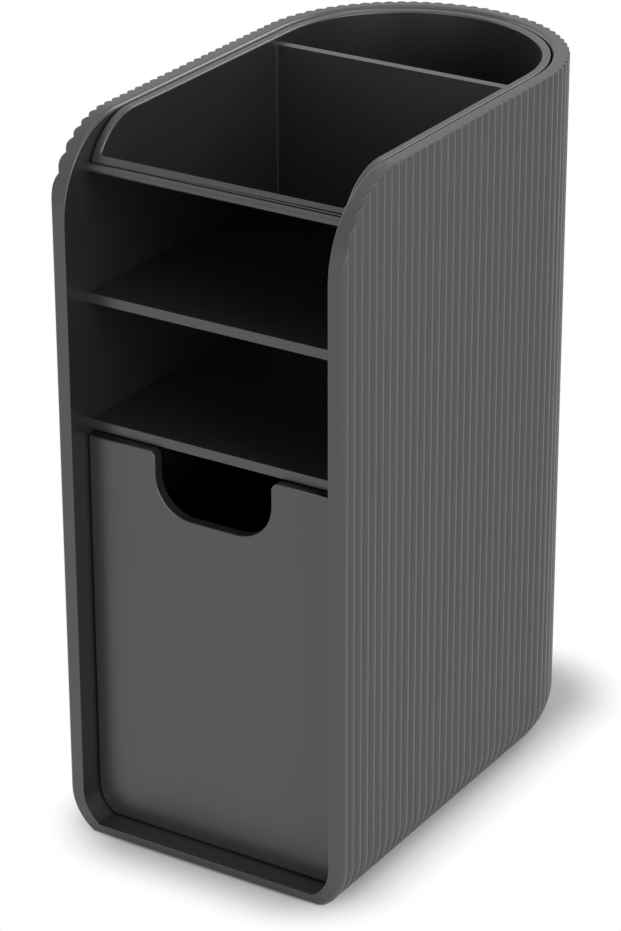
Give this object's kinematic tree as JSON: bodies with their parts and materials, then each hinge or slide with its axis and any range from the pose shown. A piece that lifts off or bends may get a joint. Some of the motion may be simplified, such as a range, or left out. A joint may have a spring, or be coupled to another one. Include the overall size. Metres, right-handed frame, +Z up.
{
  "type": "desk organizer with drawer",
  "caption": "Upright D-shaped desk organizer: reeded shell, lift-out pen cup over open cubbies, and a notched drawer that slides out at the front.",
  "frame": {"origin": "middle of the outline's box, at the level of the foot pads' undersides", "axes": "+Z up; -Y out of the open front, the way the drawer slides; +X to the right when facing the front"},
  "size_m": [0.0874, 0.146, 0.2006],
  "materials": {
    "shell_plastic": "satin moulded",
    "cup_plastic": "satin moulded",
    "drawer_plastic": "satin moulded",
    "foot_rubber": "matte"
  },
  "bodies": {
    "housing": {"outer_shell": "shell_plastic", "cup_cradle": "shell_plastic", "middle_shelf": "shell_plastic", "lower_shelf": "shell_plastic", "foot_front_left": "foot_rubber", "foot_front_right": "foot_rubber", "foot_rear_left": "foot_rubber", "foot_rear_right": "foot_rubber"},
    "drawer": {"drawer_tray": "drawer_plastic", "drawer_front": "drawer_plastic"},
    "cup": {"pen_cup": "cup_plastic"}
  },
  "joints": [
    {"name": "drawer_slide", "type": "slide", "parent": "housing", "child": "drawer", "axis": [0, -1, 0], "range_m": [0, 0.098]},
    {"name": "cup_lift", "type": "slide", "parent": "housing", "child": "cup", "axis": [0, 0, 1], "range_m": [0, 0.09]}
  ]
}
